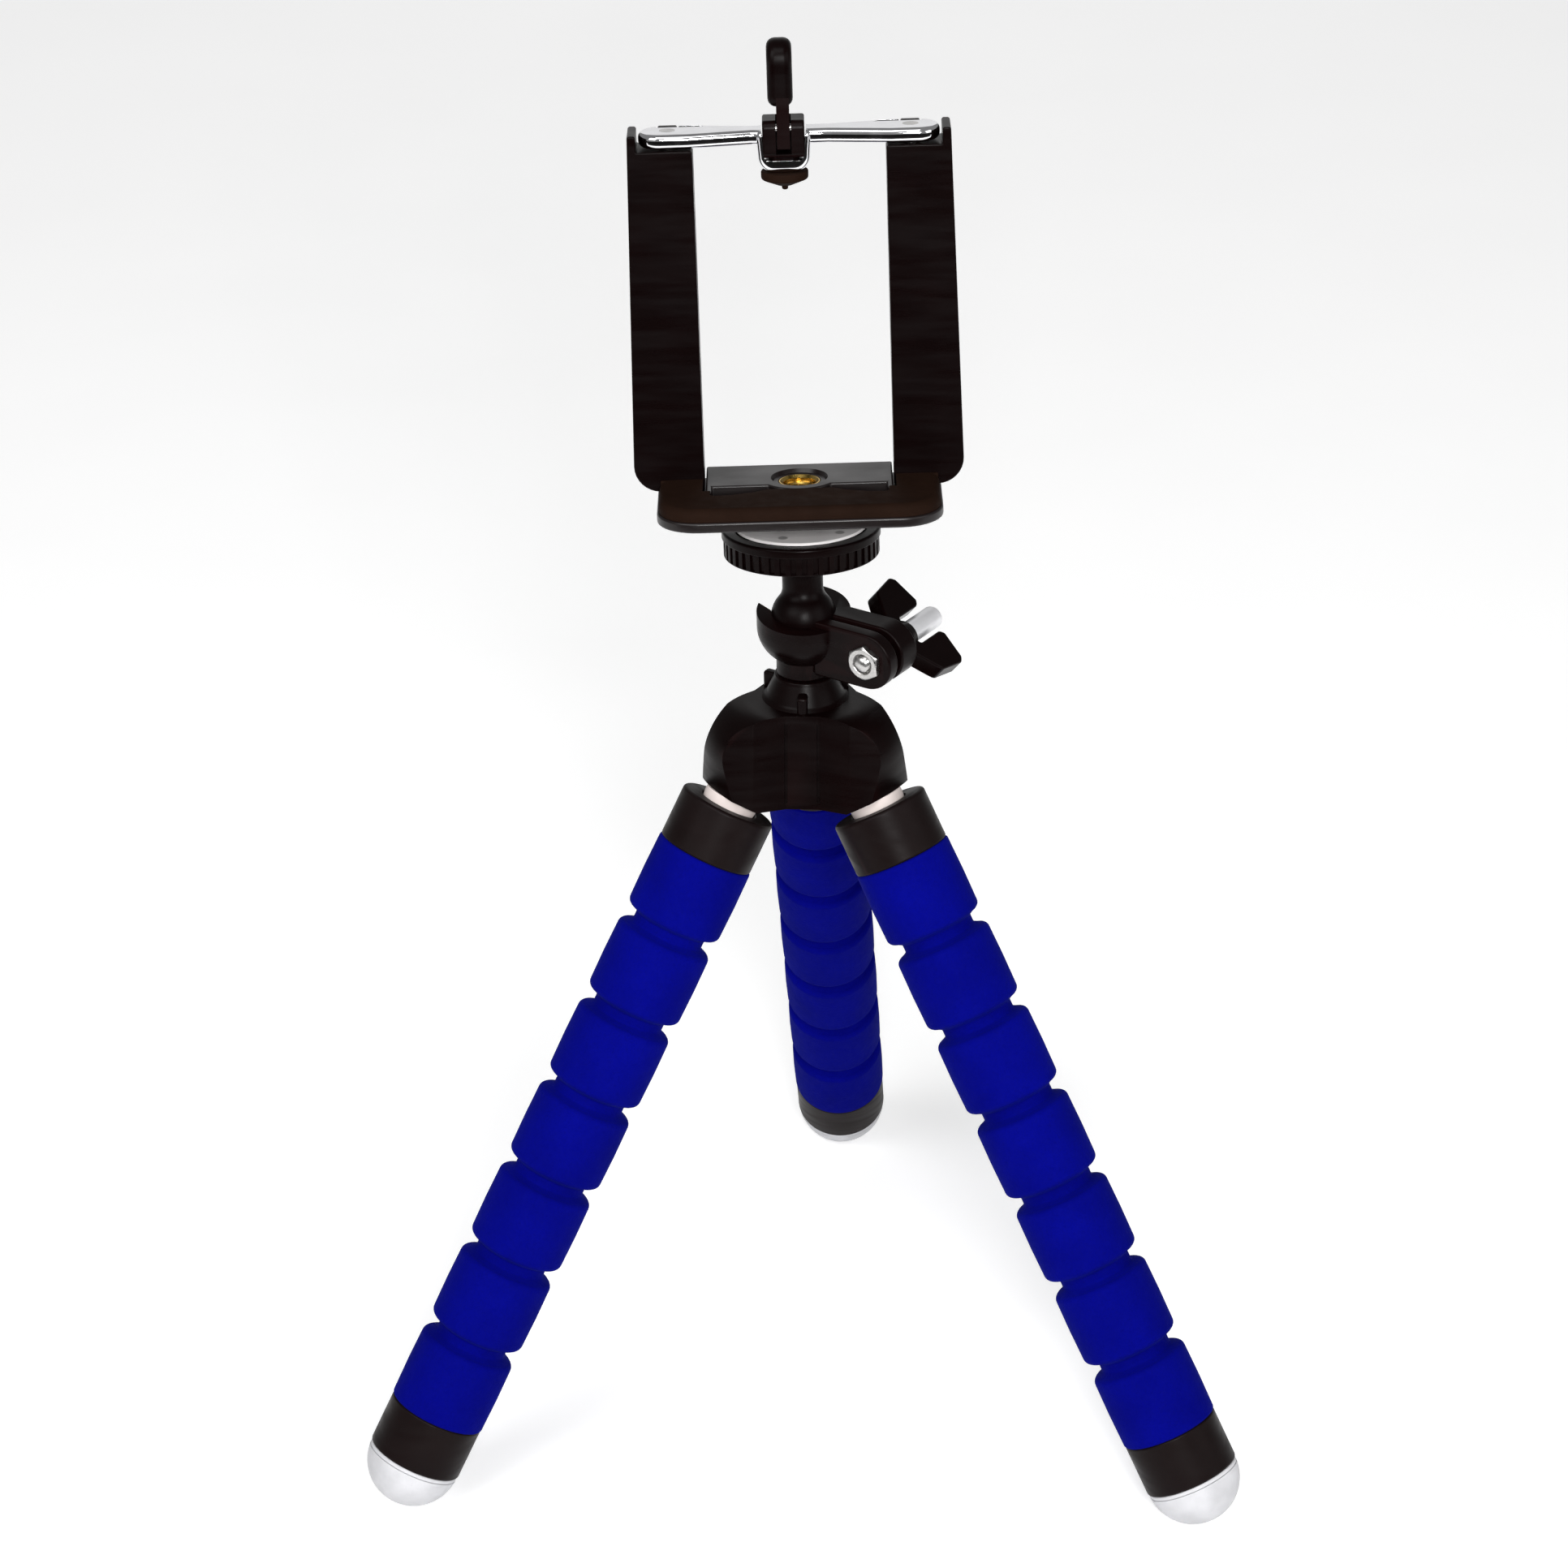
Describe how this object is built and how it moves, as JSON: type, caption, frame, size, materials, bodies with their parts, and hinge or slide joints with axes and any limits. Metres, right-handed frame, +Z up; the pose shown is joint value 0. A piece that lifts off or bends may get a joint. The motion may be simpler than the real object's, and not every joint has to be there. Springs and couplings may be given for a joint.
{
  "type": "flexible leg tripod",
  "caption": "Small tripod with bendable segmented foam legs, a clamped ball head and a spring phone clip.",
  "frame": {"origin": "On the floor under the middle of the tripod's overall box", "axes": "+Z up; the clip's front, where the phone's screen looks out, faces -Y; +X to the right as seen from the front"},
  "size_m": [0.1712, 0.1648, 0.2801],
  "materials": {
    "foam": "matte",
    "black_plastic": "satin",
    "cap_plastic": "satin",
    "tray_plastic": "satin",
    "brown_rubber": "matte",
    "white_rubber": "matte",
    "pale_plastic": "matte",
    "chrome": "polished",
    "steel": "satin",
    "brass": "satin"
  },
  "bodies": {
    "hub": {"hub": "black_plastic", "hub_screw": "steel", "leg_collars": "pale_plastic"},
    "head": {"cup": "black_plastic", "clamp_nut": "steel"},
    "knob": {"clamp_bolt": "steel", "wing_knob": "black_plastic", "knob_sleeve": "chrome"},
    "ball": {"ball_stem": "black_plastic", "camera_screw": "steel"},
    "platform": {"disc": "black_plastic", "disc_pad": "pale_plastic"},
    "clip": {"tray": "tray_plastic", "tray_pad": "brown_rubber", "thread_insert": "brass", "left_arm": "black_plastic", "right_arm": "black_plastic", "arm_screws": "steel", "return_springs": "steel"},
    "bracket": {"top_bracket": "chrome", "slide_rods": "steel", "clevis_block": "black_plastic", "pivot_pin": "steel", "bumper": "brown_rubber"},
    "finger": {"finger": "black_plastic"},
    "leg_left_1": {"top_cap_left": "cap_plastic", "foam_left_1": "foam", "leg_wire_left": "steel"},
    "leg_left_2": {"foam_left_2": "foam"},
    "leg_left_3": {"foam_left_3": "foam"},
    "leg_left_4": {"foam_left_4": "foam"},
    "leg_left_5": {"foam_left_5": "foam"},
    "leg_left_6": {"foam_left_6": "foam"},
    "leg_left_7": {"foam_left_7": "foam", "bottom_cap_left": "cap_plastic", "foot_left": "white_rubber"},
    "leg_right_1": {"top_cap_right": "cap_plastic", "foam_right_1": "foam", "leg_wire_right": "steel"},
    "leg_right_2": {"foam_right_2": "foam"},
    "leg_right_3": {"foam_right_3": "foam"},
    "leg_right_4": {"foam_right_4": "foam"},
    "leg_right_5": {"foam_right_5": "foam"},
    "leg_right_6": {"foam_right_6": "foam"},
    "leg_right_7": {"foam_right_7": "foam", "bottom_cap_right": "cap_plastic", "foot_right": "white_rubber"},
    "leg_rear_1": {"top_cap_rear": "cap_plastic", "foam_rear_1": "foam", "leg_wire_rear": "steel"},
    "leg_rear_2": {"foam_rear_2": "foam"},
    "leg_rear_3": {"foam_rear_3": "foam"},
    "leg_rear_4": {"foam_rear_4": "foam"},
    "leg_rear_5": {"foam_rear_5": "foam"},
    "leg_rear_6": {"foam_rear_6": "foam"},
    "leg_rear_7": {"foam_rear_7": "foam", "bottom_cap_rear": "cap_plastic", "foot_rear": "white_rubber"}
  },
  "joints": [
    {"name": "head_pan", "type": "hinge", "parent": "hub", "child": "head", "pos_m": [0.00348, -0.01802, 0.1702], "axis": [0, 0, 1], "continuous": true},
    {"name": "knob_turn", "type": "hinge", "parent": "head", "child": "knob", "pos_m": [0.017, -0.02714, 0.1662], "axis": [0.5592, 0.829, 0], "continuous": true},
    {"name": "ball_tilt", "type": "hinge", "parent": "head", "child": "ball", "pos_m": [0.00348, -0.01802, 0.1702], "axis": [0.7096, 0.7046, 0], "range_deg": [-84, 28]},
    {"name": "platform_spin", "type": "hinge", "parent": "ball", "child": "platform", "pos_m": [0.00348, -0.01802, 0.1702], "axis": [-0.0122, 0.1045, 0.9944], "continuous": true},
    {"name": "clip_turn", "type": "hinge", "parent": "ball", "child": "clip", "pos_m": [0.00348, -0.01802, 0.1702], "axis": [-0.0122, 0.1045, 0.9944], "continuous": true},
    {"name": "bracket_slide", "type": "slide", "parent": "clip", "child": "bracket", "axis": [-0.0122, 0.1045, 0.9944], "range_m": [0, 0.03], "stiffness_N_per_m": 250, "springref_m": -0.02, "deforming": ["return_springs"]},
    {"name": "finger_flip", "type": "hinge", "parent": "bracket", "child": "finger", "pos_m": [0.00133, -0.00594, 0.26413], "axis": [0.9999, 0.0013, 0.0122], "range_deg": [0, 100]},
    {"name": "left_neck", "type": "hinge", "parent": "hub", "child": "leg_left_1", "pos_m": [-0.01115, -0.02617, 0.13547], "axis": [-0.4863, 0.8738, 0], "range_deg": [-18, 18], "deforming": ["leg_wire_left"]},
    {"name": "left_bend_1", "type": "hinge", "parent": "leg_left_1", "child": "leg_left_2", "pos_m": [-0.02364, -0.03312, 0.11129], "axis": [-0.4863, 0.8738, 0], "range_deg": [-19, 19], "deforming": ["leg_wire_left"]},
    {"name": "left_bend_2", "type": "hinge", "parent": "leg_left_2", "child": "leg_left_3", "pos_m": [-0.03174, -0.03763, 0.09562], "axis": [-0.7521, -0.4186, 0.509], "range_deg": [-19, 19], "deforming": ["leg_wire_left"]},
    {"name": "left_bend_3", "type": "hinge", "parent": "leg_left_3", "child": "leg_left_4", "pos_m": [-0.03984, -0.04213, 0.07996], "axis": [0.4863, -0.8738, 0], "range_deg": [-19, 19], "deforming": ["leg_wire_left"]},
    {"name": "left_bend_4", "type": "hinge", "parent": "leg_left_4", "child": "leg_left_5", "pos_m": [-0.04793, -0.04664, 0.06429], "axis": [0.7521, 0.4186, -0.509], "range_deg": [-19, 19], "deforming": ["leg_wire_left"]},
    {"name": "left_bend_5", "type": "hinge", "parent": "leg_left_5", "child": "leg_left_6", "pos_m": [-0.05603, -0.05115, 0.04862], "axis": [-0.4863, 0.8738, 0], "range_deg": [-19, 19], "deforming": ["leg_wire_left"]},
    {"name": "left_bend_6", "type": "hinge", "parent": "leg_left_6", "child": "leg_left_7", "pos_m": [-0.06412, -0.05565, 0.03296], "axis": [-0.7521, -0.4186, 0.509], "range_deg": [-19, 19], "deforming": ["leg_wire_left"]},
    {"name": "right_neck", "type": "hinge", "parent": "hub", "child": "leg_right_1", "pos_m": [0.01684, -0.02812, 0.13547], "axis": [-0.6032, -0.7976, 0], "range_deg": [-18, 18], "deforming": ["leg_wire_right"]},
    {"name": "right_bend_1", "type": "hinge", "parent": "leg_right_1", "child": "leg_right_2", "pos_m": [0.02824, -0.03675, 0.11129], "axis": [-0.6032, -0.7976, 0], "range_deg": [-19, 19], "deforming": ["leg_wire_right"]},
    {"name": "right_bend_2", "type": "hinge", "parent": "leg_right_2", "child": "leg_right_3", "pos_m": [0.03563, -0.04234, 0.09562], "axis": [0.6865, -0.5192, 0.509], "range_deg": [-19, 19], "deforming": ["leg_wire_right"]},
    {"name": "right_bend_3", "type": "hinge", "parent": "leg_right_3", "child": "leg_right_4", "pos_m": [0.04302, -0.04793, 0.07996], "axis": [0.6032, 0.7976, 0], "range_deg": [-19, 19], "deforming": ["leg_wire_right"]},
    {"name": "right_bend_4", "type": "hinge", "parent": "leg_right_4", "child": "leg_right_5", "pos_m": [0.05041, -0.05352, 0.06429], "axis": [-0.6865, 0.5192, -0.509], "range_deg": [-19, 19], "deforming": ["leg_wire_right"]},
    {"name": "right_bend_5", "type": "hinge", "parent": "leg_right_5", "child": "leg_right_6", "pos_m": [0.0578, -0.0591, 0.04862], "axis": [-0.6032, -0.7976, 0], "range_deg": [-19, 19], "deforming": ["leg_wire_right"]},
    {"name": "right_bend_6", "type": "hinge", "parent": "leg_right_6", "child": "leg_right_7", "pos_m": [0.06519, -0.06469, 0.03296], "axis": [0.6865, -0.5192, 0.509], "range_deg": [-19, 19], "deforming": ["leg_wire_right"]},
    {"name": "rear_neck", "type": "hinge", "parent": "hub", "child": "leg_rear_1", "pos_m": [0.00465, -0.00132, 0.13547], "axis": [0.9976, -0.0698, 0], "range_deg": [-18, 18], "deforming": ["leg_wire_rear"]},
    {"name": "rear_bend_1", "type": "hinge", "parent": "leg_rear_1", "child": "leg_rear_2", "pos_m": [0.00565, 0.01295, 0.11129], "axis": [0.9976, -0.0698, 0], "range_deg": [-19, 19], "deforming": ["leg_wire_rear"]},
    {"name": "rear_bend_2", "type": "hinge", "parent": "leg_rear_2", "child": "leg_rear_3", "pos_m": [0.00629, 0.02219, 0.09562], "axis": [0.06, 0.8586, 0.509], "range_deg": [-19, 19], "deforming": ["leg_wire_rear"]},
    {"name": "rear_bend_3", "type": "hinge", "parent": "leg_rear_3", "child": "leg_rear_4", "pos_m": [0.00694, 0.03143, 0.07996], "axis": [-0.9976, 0.0698, 0], "range_deg": [-19, 19], "deforming": ["leg_wire_rear"]},
    {"name": "rear_bend_4", "type": "hinge", "parent": "leg_rear_4", "child": "leg_rear_5", "pos_m": [0.00759, 0.04067, 0.06429], "axis": [-0.06, -0.8586, -0.509], "range_deg": [-19, 19], "deforming": ["leg_wire_rear"]},
    {"name": "rear_bend_5", "type": "hinge", "parent": "leg_rear_5", "child": "leg_rear_6", "pos_m": [0.00823, 0.04991, 0.04862], "axis": [0.9976, -0.0698, 0], "range_deg": [-19, 19], "deforming": ["leg_wire_rear"]},
    {"name": "rear_bend_6", "type": "hinge", "parent": "leg_rear_6", "child": "leg_rear_7", "pos_m": [0.00888, 0.05916, 0.03296], "axis": [0.06, 0.8586, 0.509], "range_deg": [-19, 19], "deforming": ["leg_wire_rear"]}
  ]
}
